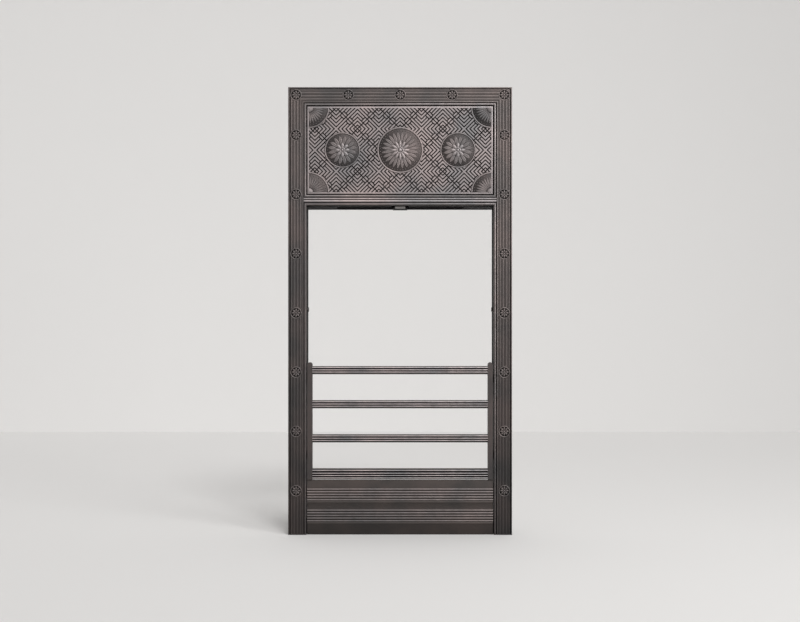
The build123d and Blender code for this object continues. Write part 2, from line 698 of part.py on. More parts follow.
def register_plate():
    """The shelf across the throat, with its opening, notch, flanges and hinge lugs."""
    plate = block((-CHEEK_OUTER, 0, PLATE_UNDERSIDE), (CHEEK_OUTER, PLATE_DEPTH, PLATE_TOP))
    top = PANEL_BOTTOM - PANEL_FLANGE_FOOT - PLATE_FLANGE_GAP
    plate += block((-CHEEK_OUTER, 0, PLATE_TOP), (CHEEK_OUTER, PLATE_FLANGE, top))
    plate += block(
        (-CHEEK_OUTER, PLATE_DEPTH - PLATE_FLANGE, PLATE_TOP),
        (CHEEK_OUTER, PLATE_DEPTH, PLATE_TOP + PLATE_REAR_RISE),
    )
    plate -= block(
        (-THROAT_HALF, THROAT_FRONT, PLATE_UNDERSIDE - 1),
        (THROAT_HALF, THROAT_BACK, PLATE_TOP + 1),
    )
    plate -= block(
        (-NOTCH_HALF, -1, PLATE_UNDERSIDE - 1), (NOTCH_HALF, THROAT_FRONT + 1, PLATE_TOP)
    )
    plate += [hinge_lug(side) for side in SIDES]
    hole = SCREW_RADIUS + HOLE_CLEARANCE
    return plate - [rod_y(hole, -1, PLATE_FLANGE + 1, x, z) for x, z in plate_places()]


def trunnion(side):
    """A hinge boss of the flap, its trunnion, and the nib that stops the flap past upright."""
    half = HINGE_BOSS / 2
    boss = sided_block(
        side,
        (HINGE_BOSS_INNER, HINGE_SETBACK - half, HINGE_LEVEL - half),
        (HINGE_BOSS_OUTER, HINGE_SETBACK + half, HINGE_LEVEL + half),
    )
    near, far = HINGE_BOSS_OUTER - 1, HINGE_LUG_OUTER
    pin = sided_rod(side, TRUNNION_RADIUS, near, far, HINGE_SETBACK, HINGE_LEVEL)
    nib = Pos(0, STOP_NIB_LENGTH / 2, 0) * Box(STOP_NIB_WIDTH, STOP_NIB_LENGTH, STOP_NIB_THICKNESS)
    middle = side * (HINGE_BOSS_INNER + HINGE_BOSS_OUTER) / 2
    return boss + pin + Pos(middle, HINGE_SETBACK, HINGE_LEVEL) * Rot(STOP_NIB_ANGLE, 0, 0) * nib


def register_flap():
    """The damper: a ribbed plate with two trunnions and a pad for the tongue."""
    low, high = FLAP_UNDERSIDE, FLAP_UNDERSIDE + FLAP_THICKNESS
    flap = block((-FLAP_HALF, FLAP_FRONT, low), (FLAP_HALF, HINGE_SETBACK, high))
    cut_front = HINGE_SETBACK - HINGE_LUG_WIDTH / 2 - HINGE_CUT_GAP
    for side in SIDES:
        flap -= sided_block(
            side,
            (HINGE_BOSS_OUTER, cut_front, low - 1),
            (FLAP_HALF + 1, HINGE_SETBACK + 1, high + 1),
        )
    flap += block(
        (-FLAP_HALF, FLAP_FRONT, high), (FLAP_HALF, FLAP_FRONT + FLAP_RIB_WIDTH, high + FLAP_RIB_RISE)
    )
    flap += block(
        (-TONGUE_HALF, TONGUE_PAD_FRONT, TONGUE_TOP), (TONGUE_HALF, TONGUE_BACK, low)
    )
    flap += [trunnion(side) for side in SIDES]
    return flap - rod_z(TONGUE_RIVET_RADIUS, TONGUE_TOP - 1, high + 1, 0, TONGUE_RIVET_SETBACK)


def lift_tongue():
    """The tongue that a poker lifts: flat, with its front corners cut off."""
    low = TONGUE_TOP - TONGUE_THICKNESS
    tongue = block((-TONGUE_HALF, TONGUE_SETBACK, low), (TONGUE_HALF, TONGUE_BACK, TONGUE_TOP))
    corners = tongue.edges().filter_by(Axis.Z).sort_by(Axis.Y)[:2]
    hole = rod_z(TONGUE_RIVET_RADIUS, low - 1, TONGUE_TOP + 1, 0, TONGUE_RIVET_SETBACK)
    return chamfer(corners, TONGUE_CORNER) - hole


def tongue_rivet():
    """The rivet through the flap and tongue, hammered flush at both ends."""
    low, high = TONGUE_TOP - TONGUE_THICKNESS, FLAP_UNDERSIDE + FLAP_THICKNESS
    return rod_z(TONGUE_RIVET_RADIUS, low, high, 0, TONGUE_RIVET_SETBACK)


def build():
    """Every sub-part by its node name."""
    parts = {
        "front_frame": front_frame(),
        "hood_panel": hood_panel(),
        "panel_screws": back_screws(panel_places(), PANEL_FLANGE),
        "cheek_left": cheek(-1),
        "cheek_right": cheek(1),
        "cheek_bolts": cheek_bolts(),
        "cheek_nuts": cheek_nuts(),
        "bar_studs": bar_studs(),
        "register_plate": register_plate(),
        "register_screws": back_screws(plate_places(), PLATE_FLANGE),
        "register_flap": register_flap(),
        "lift_tongue": lift_tongue(),
        "tongue_rivet": tongue_rivet(),
        "bar_rail_left": rail(-1),
        "bar_rail_right": rail(1),
        "ashpit_cover": ashpit_cover(),
    }
    for number, (top, beads, slope) in enumerate(bar_rows(), start=1):
        parts[f"front_bar_{number}"] = bar(top, beads, slope)
    return parts


os.makedirs("parts", exist_ok=True)
for name, shape in build().items():
    export_step(shape, f"parts/{name}.step")
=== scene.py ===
from itertools import product
from math import asin, cos, pi, radians, sin, sqrt, tau

import bmesh
import bpy
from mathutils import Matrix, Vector


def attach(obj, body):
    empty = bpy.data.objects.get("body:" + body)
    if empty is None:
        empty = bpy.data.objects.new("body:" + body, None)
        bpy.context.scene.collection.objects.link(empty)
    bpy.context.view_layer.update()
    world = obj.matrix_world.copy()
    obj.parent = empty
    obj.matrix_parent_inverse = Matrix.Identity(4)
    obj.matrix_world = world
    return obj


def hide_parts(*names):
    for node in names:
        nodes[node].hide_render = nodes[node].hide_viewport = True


# Register grate front, dressed for rendering. Lengths are in millimetres and are turned into
# metres by MM where a mesh, a lamp or the camera is made. X runs across, Y into the chimney
# and Z up; the front bead tops lie at Y = -16 and the wall plane at Y = 0.
MM = 0.001
SIDES = (-1, 1)

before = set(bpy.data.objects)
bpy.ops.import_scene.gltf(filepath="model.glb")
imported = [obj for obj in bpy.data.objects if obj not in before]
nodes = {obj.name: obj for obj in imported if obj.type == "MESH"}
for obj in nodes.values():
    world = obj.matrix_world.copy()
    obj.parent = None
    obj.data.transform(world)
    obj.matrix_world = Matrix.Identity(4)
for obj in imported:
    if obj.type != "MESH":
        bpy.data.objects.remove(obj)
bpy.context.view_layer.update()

# The camera, its distance counted from the front bead tops
PHOTO_WIDTH, MM_PER_PIXEL = 800, 2.0405
CAMERA_OFFSET, CAMERA_DISTANCE, CAMERA_HEIGHT = -0.2, 2600.0, 457.0
BEAD_TOPS, SENSOR = -16.0, 36.0


# Materials
BLACK, WHITE = (0.0, 0.0, 0.0), (1.0, 1.0, 1.0)
BUMP_HEIGHT = 0.6

# Noise: features a metre, detail, roughness, and for some the range that is stretched from 0 to 1
PATCHES = 11.0, 5.0, 0.55, 0.36, 0.64
STREAKS = 70.0, 6.0, 0.70, 0.30, 0.75
RUST = 22.0, 6.0, 0.65, 0.48, 0.68
SCALING = 26.0, 7.0, 0.65, 0.45, 0.70
SPECKS = 320.0, 4.0, 0.55, 0.35, 0.70
SAND, LUMPS, PITS = (1300.0, 3.0, 0.55), (160.0, 4.0, 0.55), (420.0, 5.0, 0.60)

# Blacked cast iron: where the hollow tone (blacking with painted shade) ends and the rubbed one starts,
# as shares of the relief's rise, the least rubbing on a crest, the tints of its patches, how far behind the
# relief's floor the raw back starts and is full, and the skin's metal, gloss and grain
HOLLOW_SHADE_END, RUBBED_START, LEAST_RUBBED = 0.5, 0.55, 0.45
COOL_PATCH, WARM_PATCH = (0.73, 0.77, 0.79), (1.17, 1.08, 1.06)
RAW_START, RAW_FULL, RAW_DULLER = 1.5, 4.5, 0.15
METALLIC, RAW_METALLIC = 0.85, 0.25
CAST_GLOSS, CAST_GRAIN, LUMP_SHARE = 0.5, 0.10, 0.7
RAW_IRON, RUSTY_IRON = (0.085, 0.078, 0.073), (0.118, 0.086, 0.068)

# Sooty iron: its tones, the near-black one being soot with painted shade, the tints of its specks, and its
# roughness, gloss and grain
SOOT_AND_SHADE, SOOT_SCALE = (0.007, 0.006, 0.006), (0.022, 0.018, 0.016)
DUSTY, DUSTY_SCALE = (0.045, 0.040, 0.037), (0.085, 0.068, 0.058)
DARK_SPECK, LIGHT_SPECK = (0.75, 0.75, 0.75), (1.15, 1.13, 1.10)
SOOT_ROUGH, SCALE_ROUGH, SOOT_GLOSS, SOOT_GRAIN = 0.82, 0.66, 0.1, 0.25


def new_material(name):
    """An empty node material and its tree, with the surface shader already linked."""
    material = bpy.data.materials.new(name)
    material.use_nodes = True
    tree = material.node_tree
    tree.nodes.clear()
    output = tree.nodes.new("ShaderNodeOutputMaterial")
    shader = tree.nodes.new("ShaderNodeBsdfPrincipled")
    tree.links.new(shader.outputs[0], output.inputs["Surface"])
    return material, tree, shader


def noise(tree, scale, detail, roughness):
    """Noise in the object's own place, with a scale in features a metre."""
    place = tree.nodes.new("ShaderNodeTexCoord")
    texture = tree.nodes.new("ShaderNodeTexNoise")
    texture.inputs["Scale"].default_value = scale
    texture.inputs["Detail"].default_value = detail
    texture.inputs["Roughness"].default_value = roughness
    tree.links.new(place.outputs["Object"], texture.inputs["Vector"])
    return texture.outputs["Fac"]


def span(tree, value, low, high, to_low=0.0, to_high=1.0):
    """A value mapped from one range to another and held inside it."""
    node = tree.nodes.new("ShaderNodeMapRange")
    node.clamp = True
    tree.links.new(value, node.inputs["Value"])
    for name, number in (("From Min", low), ("From Max", high), ("To Min", to_low), ("To Max", to_high)):
        node.inputs[name].default_value = number
    return node.outputs["Result"]


def spots(tree, scale, detail, roughness, low, high):
    """Noise with one range of its values stretched from 0 to 1."""
    return span(tree, noise(tree, scale, detail, roughness), low, high)


def mix_color(tree, factor, first, second):
    """A blend of two colours, each a tuple or a socket."""
    node = tree.nodes.new("ShaderNodeMix")
    node.data_type = "RGBA"
    tree.links.new(factor, node.inputs[0])
    for socket, value in ((node.inputs[6], first), (node.inputs[7], second)):
        if isinstance(value, tuple):
            socket.default_value = (*value, 1.0)
        else:
            tree.links.new(value, socket)
    return node.outputs[2]


def multiply_color(tree, first, second):
    """One colour times another."""
    node = tree.nodes.new("ShaderNodeMix")
    node.data_type = "RGBA"
    node.blend_type = "MULTIPLY"
    node.inputs[0].default_value = 1.0
    tree.links.new(first, node.inputs[6])
    tree.links.new(second, node.inputs[7])
    return node.outputs[2]


def maths(tree, operation, first, second):
    """One sum of two values, each a number or a socket."""
    node = tree.nodes.new("ShaderNodeMath")
    node.operation = operation
    for socket, value in zip(node.inputs, (first, second)):
        if isinstance(value, (int, float)):
            socket.default_value = value
        else:
            tree.links.new(value, socket)
    return node.outputs[0]


def own_place(tree):
    """The X, Y and Z of the object's own coordinates, in metres."""
    place = tree.nodes.new("ShaderNodeTexCoord")
    parts = tree.nodes.new("ShaderNodeSeparateXYZ")
    tree.links.new(place.outputs["Object"], parts.inputs[0])
    return parts.outputs


def bumps(tree, shader, height, strength):
    """Fine unevenness of a surface, from a height between 0 and 1 that stands for BUMP_HEIGHT."""
    bump = tree.nodes.new("ShaderNodeBump")
    bump.inputs["Strength"].default_value = strength
    bump.inputs["Distance"].default_value = BUMP_HEIGHT * MM
    tree.links.new(height, bump.inputs["Height"])
    tree.links.new(bump.outputs[0], shader.inputs["Normal"])


def cast_iron(name, crest, floor, worn=(0.23, 0.208, 0.20), body=(0.105, 0.095, 0.091),
              hollow=(0.020, 0.018, 0.017), shine=0.30, dull=0.55, fade=0.72, reach=0.75):
    """Black-leaded cast iron, dark in its hollows where blacking gathers and painted shade stands for their
    shade, and rubbed brighter on its crests.

    Crest and floor are the Y of what stands out furthest and of the hollows, in millimetres. The
    tone is darkened towards the bottom to a share of itself, over a reach in metres, as painted
    shade for light that falls off downwards. What lies well behind the floor is raw iron with some rust.
    """
    material, tree, shader = new_material(name)
    place = own_place(tree)
    rise = span(tree, place["Y"], floor * MM, crest * MM)
    patches = spots(tree, *PATCHES)
    streaks = spots(tree, *STREAKS)
    # The hollow tone is partly blacking that gathers there and partly painted shade in the hollows.
    low = mix_color(tree, span(tree, rise, 0.0, HOLLOW_SHADE_END), hollow, body)
    rubbed = span(tree, rise, RUBBED_START, 1.0)
    rubbed = maths(tree, "MULTIPLY", rubbed, span(tree, streaks, 0.0, 1.0, LEAST_RUBBED, 1.0))
    tone = mix_color(tree, rubbed, low, worn)
    tone = multiply_color(tree, tone, mix_color(tree, patches, COOL_PATCH, WARM_PATCH))
    # Painted shade: darker towards the bottom, standing for light that falls off downwards.
    painted_falloff = span(tree, place["Z"], 0.0, reach, fade, 1.0)
    tone = multiply_color(tree, tone, mix_color(tree, painted_falloff, BLACK, WHITE))
    raw = mix_color(tree, spots(tree, *RUST), RAW_IRON, RUSTY_IRON)
    behind = span(tree, place["Y"], (floor + RAW_START) * MM, (floor + RAW_FULL) * MM)
    tree.links.new(mix_color(tree, behind, tone, raw), shader.inputs["Base Color"])
    metallic = span(tree, behind, 0.0, 1.0, METALLIC, RAW_METALLIC)
    tree.links.new(metallic, shader.inputs["Metallic"])
    shader.inputs["Specular IOR Level"].default_value = CAST_GLOSS
    rough = span(tree, maths(tree, "MULTIPLY", rubbed, streaks), 0.0, 1.0, dull, shine)
    rough = maths(tree, "ADD", rough, maths(tree, "MULTIPLY", behind, RAW_DULLER))
    tree.links.new(rough, shader.inputs["Roughness"])
    lumps = maths(tree, "MULTIPLY", noise(tree, *LUMPS), LUMP_SHARE)
    bumps(tree, shader, maths(tree, "ADD", noise(tree, *SAND), lumps), CAST_GRAIN)
    return material


def plain_pale(name, color):
    """The floor's and the backdrop's own pale colour."""
    material, _, shader = new_material(name)
    shader.inputs["Base Color"].default_value = (*color, 1.0)
    shader.inputs["Roughness"].default_value = 0.9
    shader.inputs["Specular IOR Level"].default_value = 0.1
    return material


# Each iron's crest and floor fit the relief of the piece that wears it, and its fade and reach set how
# much painted shade darkens it towards the bottom. The steel's lie behind everything, so that all of it is a
# crest.
IRON_FRONT = cast_iron("iron_front", -16.0, -14.35, worn=(0.190, 0.171, 0.165), body=(0.090, 0.080, 0.077),
                       hollow=(0.006, 0.006, 0.005), fade=0.42)
IRON_PATERA = cast_iron("iron_patera", -15.8, -13.9, worn=(0.22, 0.198, 0.193), body=(0.11, 0.098, 0.095),
                        hollow=(0.040, 0.035, 0.034))
# A brighter copy of the frame's iron: painted light for the top light that the transom's level reeds catch.
IRON_TRANSOM_LIT = cast_iron("iron_transom_lit", -15.9, -14.5, worn=(0.66, 0.60, 0.597), body=(0.20, 0.18, 0.177))
IRON_RIM = cast_iron("iron_rim", -16.0, -13.2, worn=(0.33, 0.302, 0.298), body=(0.11, 0.098, 0.095),
                     hollow=(0.006, 0.006, 0.005), fade=0.30, reach=0.9)
IRON_PANEL = cast_iron("iron_panel", -14.0, -12.65, worn=(0.48, 0.436, 0.433), body=(0.21, 0.189, 0.186),
                       hollow=(0.010, 0.009, 0.009))
IRON_RELIEF = cast_iron("iron_relief", -15.7, -13.6, worn=(0.40, 0.363, 0.36), body=(0.18, 0.162, 0.159),
                        hollow=(0.044, 0.039, 0.038))
IRON_BARS = cast_iron("iron_bars", -13.4, -12.75, worn=(0.95, 0.88, 0.875), body=(0.10, 0.090, 0.088),
                      hollow=(0.006, 0.005, 0.005), shine=0.24, dull=0.45)
IRON_RAILS = cast_iron("iron_rails", -14.2, -13.0, worn=(0.12, 0.105, 0.101), body=(0.10, 0.089, 0.086),
                       shine=0.4, dull=0.5)
IRON_COVER = cast_iron("iron_cover", -12.8, -11.4, worn=(0.27, 0.244, 0.24), body=(0.090, 0.079, 0.074),
                       hollow=(0.072, 0.063, 0.059), dull=0.5, reach=0.12)
STEEL_DARK = cast_iron("steel_dark", 90.0, 91.0, worn=(0.09, 0.082, 0.078), body=(0.06, 0.055, 0.052),
                       shine=0.35, dull=0.5)


def soot_and_shade_iron(name, axis, end, near_tone, soot=DUSTY, scale_tone=DUSTY_SCALE):
    """Bare iron under soot, with scaled patches, and another tone short of an end along one axis; the callers
    use that near tone for soot with painted shade and for a painted glint.
    """
    material, tree, shader = new_material(name)
    patches = spots(tree, *SCALING)
    specks = mix_color(tree, spots(tree, *SPECKS), DARK_SPECK, LIGHT_SPECK)
    tone = multiply_color(tree, mix_color(tree, patches, soot, scale_tone), specks)
    away = maths(tree, "ABSOLUTE", own_place(tree)[axis], 0.0)
    far = span(tree, away, end * MM, (end + 1) * MM)
    tree.links.new(mix_color(tree, far, near_tone, tone), shader.inputs["Base Color"])
    rough = span(tree, patches, 0.0, 1.0, SOOT_ROUGH, SCALE_ROUGH)
    tree.links.new(rough, shader.inputs["Roughness"])
    shader.inputs["Specular IOR Level"].default_value = SOOT_GLOSS
    bumps(tree, shader, noise(tree, *PITS), SOOT_GRAIN)
    return material


# Near-black soot lies on what faces the fire; on the cheeks' inner faces and on the register plate and flap
# it is also painted shade for the shadow there. The tongue's front end is rubbed bare and also made light as
# a painted glint.
CHEEK_IRON = soot_and_shade_iron("cheek_iron", "X", 192.0, SOOT_AND_SHADE)
PLATE_IRON = soot_and_shade_iron("plate_iron", "Z", 676.9, SOOT_AND_SHADE)
FLAP_IRON = soot_and_shade_iron("flap_iron", "Z", 681.0, SOOT_AND_SHADE)
# The tongue's front end is light: rubbed bare, and also a painted glint for the highlight its worn edge
# catches.
TONGUE_IRON = soot_and_shade_iron("tongue_iron", "Y", 13.0, (0.42, 0.40, 0.39), SOOT_AND_SHADE, SOOT_SCALE)


def dress(node, material):
    """Gives a CAD node one material."""
    mesh = nodes[node].data
    mesh.materials.clear()
    mesh.materials.append(material)


def soften(node, width):
    """Rounds a CAD node's sharp edges a little."""
    bevel = nodes[node].modifiers.new("soft_edges", "BEVEL")
    bevel.width = width * MM
    bevel.segments = 2
    bevel.limit_method = "ANGLE"
    bevel.angle_limit = radians(40)


DRESSES = {
    IRON_FRONT: ("front_frame",),
    IRON_PANEL: ("hood_panel",),
    IRON_COVER: ("ashpit_cover",),
    IRON_BARS: tuple(name for name in nodes if name.startswith("front_bar")),
    IRON_RAILS: ("bar_rail_left", "bar_rail_right"),
    CHEEK_IRON: ("cheek_left", "cheek_right"),
    PLATE_IRON: ("register_plate",),
    FLAP_IRON: ("register_flap",),
    TONGUE_IRON: ("lift_tongue",),
    STEEL_DARK: ("panel_screws", "cheek_bolts", "cheek_nuts", "bar_studs", "register_screws", "tongue_rivet"),
}
for material, names in DRESSES.items():
    for node in names:
        dress(node, material)
SOFT_EDGES = {
    0.4: ("panel_screws", "cheek_bolts", "cheek_nuts", "register_screws"),
    0.5: ("cheek_left", "cheek_right", "register_plate", "register_flap", "lift_tongue"),
    0.8: ("bar_rail_left", "bar_rail_right"),
}
for width, names in SOFT_EDGES.items():
    for node in names:
        soften(node, width)


# Meshes

# Points nearer than WELD become one. A lathe's outline starts AXIS from its axis, and SHY keeps
# a face just short of another piece's or of a limit.
WELD, AXIS, SHY = 0.002, 0.001, 0.04


class Shell:
    """Points in millimetres and faces, gathered to become one mesh."""

    def __init__(self):
        self.points = []
        self.faces = []

    def add(self, points, faces):
        start = len(self.points)
        self.points += [tuple(p) for p in points]
        self.faces += [tuple(start + i for i in face) for face in faces]

    def grid(self, rows, around=False, loop=False, caps=False):
        """Quads between rows of as many points; around closes each row, loop the run of rows."""
        count = len(rows[0])
        faces = []
        for r in range(len(rows) if loop else len(rows) - 1):
            near, far = r * count, (r + 1) % len(rows) * count
            for c in range(count if around else count - 1):
                d = (c + 1) % count
                faces.append((near + c, near + d, far + d, far + c))
        if caps:
            faces.append(tuple(range(count)))
            faces.append(tuple(range((len(rows) - 1) * count, len(rows) * count)))
        self.add([p for row in rows for p in row], faces)

    def box(self, low, high, edge):
        """A box with its edges cut off a little."""
        solid = bmesh.new()
        bmesh.ops.create_cube(solid, size=1.0)
        size = Vector([b - a for a, b in zip(low, high)])
        middle = Vector([(a + b) / 2 for a, b in zip(low, high)])
        for vertex in solid.verts:
            vertex.co = Vector([c * s for c, s in zip(vertex.co, size)]) + middle
        cut = min(edge, min(size) / 4)
        bmesh.ops.bevel(solid, geom=solid.edges[:], offset=cut, segments=2, profile=0.5, affect="EDGES")
        solid.verts.index_update()
        self.add([v.co for v in solid.verts], [[v.index for v in f.verts] for f in solid.faces])
        solid.free()

    def lathe(self, profile, place, steps, start=0.0, turn=tau):
        """A (radius, Y) outline turned about an axis along Y through an (x, z) place."""
        full = abs(turn - tau) < 1e-6
        angles = [start + turn * n / steps for n in range(steps if full else steps + 1)]
        rows = [[(place[0] + r * cos(a), y, place[1] + r * sin(a)) for r, y in profile] for a in angles]
        self.grid(rows, around=True, loop=full, caps=not full)

    def drilled_pad(self, place, half, front, hole, depth=10.0, steps=64):
        """A square pad up to the wall plane with a blind round hole in its back."""
        rows = []
        for n in range(steps):
            a = tau * n / steps
            edge = half / max(abs(cos(a)), abs(sin(a)))
            profile = ((edge, front), (edge, -0.6), (edge - 0.6, -SHY), (hole + 0.3, -SHY), (hole, -0.3),
                       (hole, -depth), (AXIS, -depth))
            rows.append([(place[0] + r * cos(a), y, place[1] + r * sin(a)) for r, y in profile])
        self.grid(rows, loop=True)

    def to_mesh(self, name, weld=True):
        """The mesh in metres with its faces turned outwards and, if asked, its seams closed."""
        mesh = bpy.data.meshes.new(name)
        mesh.from_pydata([Vector(p) * MM for p in self.points], [], self.faces)
        solid = bmesh.new()
        solid.from_mesh(mesh)
        if weld:
            bmesh.ops.remove_doubles(solid, verts=solid.verts[:], dist=WELD * MM)
        bmesh.ops.recalc_face_normals(solid, faces=solid.faces[:])
        solid.to_mesh(mesh)
        solid.free()
        return mesh

    def into(self, name, material, body, slot, replaced=(), sharp=38.0):
        """Makes the finished object, which rides on a body and stands for the nodes it replaces."""
        finish_mesh(name, self.to_mesh(name), material, body, replaced, sharp)


def finish_mesh(name, mesh, material, body, replaced=(), sharp=38.0):
    """Shades a mesh, links its object, sets it on its body and hides the nodes it replaces."""
    for face in mesh.polygons:
        face.use_smooth = True
    mesh.set_sharp_from_angle(angle=radians(sharp))
    mesh.materials.clear()
    mesh.materials.append(material)
    piece = bpy.data.objects.new(name, mesh)
    bpy.context.collection.objects.link(piece)
    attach(piece, body)
    if replaced:
        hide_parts(*replaced)


def bead(start, width, rise, base, steps=8):
    """Points of one bead's arc, which rises from the base towards the room."""
    radius = (width * width / 4 + rise * rise) / (2 * rise)
    half = asin(min(1.0, width / 2 / radius))
    if rise > width / 2:
        half = pi - half
    angles = [half * (2 * n / steps - 1) for n in range(steps + 1)]
    middle = start + width / 2
    return [(middle + radius * sin(a), base - radius * cos(a) + radius - rise) for a in angles]


def bead_run(start, widths, rise, base, cut=0.7, deep=0.7, steps=8):
    """Points of neighbouring beads with a narrow cut between each two."""
    line, here = [], start
    for number, width in enumerate(widths):
        if number:
            line.append((here, base + deep))
        line += bead(here + cut / 2, width - cut, rise, base, steps)
        here += width
    return line


def softened(outline, radius, sharper=radians(40), closed=True):
    """An outline with each sharp corner turned into three points on a small arc."""
    points = []
    count = len(outline)
    for n in range(count):
        if not closed and n in (0, count - 1):
            points.append(outline[n])
            continue
        here = Vector(outline[n])
        before, after = Vector(outline[n - 1]) - here, Vector(outline[(n + 1) % count]) - here
        if min(before.length, after.length) < 1e-6:
            continue
        if pi - before.angle(after) < sharper:
            points.append(tuple(here))
            continue
        cut = min(radius, before.length * 0.4, after.length * 0.4)
        first, last = here + before.normalized() * cut, here + after.normalized() * cut
        points += [tuple(first), tuple(here * 0.5 + (first + last) * 0.25), tuple(last)]
    return points


# Front frame

# The border's and the rims' section: widths from the outer edge inwards, rises, and Y levels
HALF_WIDTH, HEIGHT, FACE = 228.5, 914.0, -14.6
EDGE_BEAD, QUIRK, INNER_BEAD, RIM_BEAD = 3.0, 0.9, 3.9, 4.4
REEDS, TRANSOM_REEDS = (4.8, 6.5, 6.6, 6.0), (5.8, 4.2)
BEAD_RISE, REED_RISE, QUIRK_DEPTH = 1.4, 1.1, 1.4
WEB_BACK, OUTER_WALL = -8.2, 5.0
FRAME_ROUND, TRANSOM_ROUND, TRANSOM_CUT = 0.35, 0.3, 0.6
RIM = QUIRK + RIM_BEAD
REEDED = EDGE_BEAD + QUIRK + sum(REEDS) + INNER_BEAD
STILE = REEDED + RIM
OPENING_HALF = HALF_WIDTH - STILE
PANEL_TOP, PANEL_BOTTOM, FIRE_TOP = 877.0, 694.0, 673.4
PANEL_MIDDLE = (PANEL_TOP + PANEL_BOTTOM) / 2

# The small paterae, the leaves in them and their places
PATERA_RADIUS, PATERA_FLOOR, PATERA_LEAVES, POCKET_MOUTH = 11.9, -13.9, 8, -20.0
PATERA_RIM_INSET, PATERA_RIM, PATERA_BOSS, PATERA_RISE = 1.1, 2.0, 2.3, 1.9
LEAF_FROM, LEAF_INSET, LEAF_WIDTH, LEAF_RISE = 2.0, 2.3, 5.2, 1.6
PATERA_LEVELS = tuple(90.0 + 121.0 * n for n in range(7))
PATERAE_ABOVE = (-106.0, 0.0, 106.0)

# What stands in the channel behind the frame. Pads' places are for the right side.
RIB, RIB_LEVELS, RIBS_ABOVE = 4.0, tuple(50.0 + 160.0 * n for n in range(6)), (-160, 0, 160)
FOOT_BAR, BACK_EDGE = (0.2, 8.0), 0.8
LUG_END, LUG_HALF, LUG_ROUND, LUG_LEVELS = 26.0, 13.0, 8.0, (92.0, 460.0)
LUG_FROM, LUG_TO, LUG_EDGE = 5.0, 12.0, 0.6
WALL_PAD, WALL_PAD_HALF, WALL_HOLE = (212.0, 570.0), 9.0, 4.0
SCREW_PADS = ((207.0, PANEL_MIDDLE), (125.5, (FIRE_TOP + PANEL_BOTTOM) / 2))
SCREW_PAD_HALF, SCREW_HOLE = 7.0, 3.0


def border_section():
    """The reeded border's closed section, as (distance inwards, Y)."""
    line = bead(0, EDGE_BEAD, BEAD_RISE, FACE)
    here = EDGE_BEAD
    line += [(here, FACE + QUIRK_DEPTH), (here + QUIRK, FACE + QUIRK_DEPTH)]
    here += QUIRK
    for width in REEDS:
        line += bead(here, width, REED_RISE, FACE)
        here += width
    line += bead(here, INNER_BEAD, BEAD_RISE, FACE)
    line += [(REEDED, WEB_BACK), (OUTER_WALL, WEB_BACK), (OUTER_WALL, 0), (0, 0)]
    return softened(line, FRAME_ROUND)


def rim_section():
    """The closed section of the rim round an opening, as (distance inwards, Y)."""
    floor = FACE + QUIRK_DEPTH
    line = [(REEDED, 0), (REEDED, floor), (REEDED + QUIRK, floor)]
    line += bead(REEDED + QUIRK, RIM_BEAD, BEAD_RISE, FACE)
    line += [(STILE, 0)]
    return softened(line, FRAME_ROUND)


def up_and_over(section, half, top):
    """A section's rows up one side from the floor, across the top and down the other side."""
    return [
        [(-half + u, y, 0) for u, y in section],
        [(-half + u, y, top - u) for u, y in section],
        [(half - u, y, top - u) for u, y in section],
        [(half - u, y, 0) for u, y in section],
    ]


def all_round(section, half, bottom, top):
    """A section's rows round the four mitred corners of a rectangle."""
    return [
        [(-half + u, y, bottom + u) for u, y in section],
        [(-half + u, y, top - u) for u, y in section],
        [(half - u, y, top - u) for u, y in section],
        [(half - u, y, bottom + u) for u, y in section],
    ]


def across(section, half):
    """A (Z, Y) section's rows from one side to the other."""
    return [[(x, y, z) for z, y in section] for x in (-half, half)]


def patera_spots():
    """Middles of the small paterae let into the reeds."""
    inset = EDGE_BEAD + QUIRK + sum(REEDS) / 2
    x, top = HALF_WIDTH - inset, HEIGHT - inset
    middles = [(side * x, z) for side in SIDES for z in PATERA_LEVELS]
    middles += [(side * x, top) for side in SIDES]
    return middles + [(x, top) for x in PATERAE_ABOVE]


def with_pockets(mesh, middles, radius, floor):
    """A closed mesh with a round pocket sunk in its face round each middle."""
    cutter = Shell()
    for x, z in middles:
        outline = [(AXIS, floor), (radius, floor), (radius, POCKET_MOUTH), (AXIS, POCKET_MOUTH)]
        cutter.lathe(outline, (x, z), 48)
    tool = bpy.data.objects.new("pocket_tool", cutter.to_mesh("pocket_tool"))
    body = bpy.data.objects.new("pocket_body", mesh)
    for item in (tool, body):
        bpy.context.collection.objects.link(item)
    cut = body.modifiers.new("pockets", "BOOLEAN")
    cut.operation = "DIFFERENCE"
    cut.solver = "EXACT"
    cut.object = tool
    result = bpy.data.meshes.new_from_object(body.evaluated_get(bpy.context.evaluated_depsgraph_get()))
    for item in (tool, body):
        bpy.data.objects.remove(item)
    return result


# A leaf's half width at its tip, the part of a sine wave that its outline follows, that wave's
# lean and fullness, how high its ends rise and the part of a wave that its crest follows
LEAF_TIP = 0.03
OUTLINE_START, OUTLINE_RUN, OUTLINE_LEAN, OUTLINE_FULL = 0.12, 0.86, 1.25, 0.7
END_RISE, CREST_START, CREST_RUN = 0.45, 0.15, 0.75

# How deep rings and bosses go below their base
SUNK = 0.4


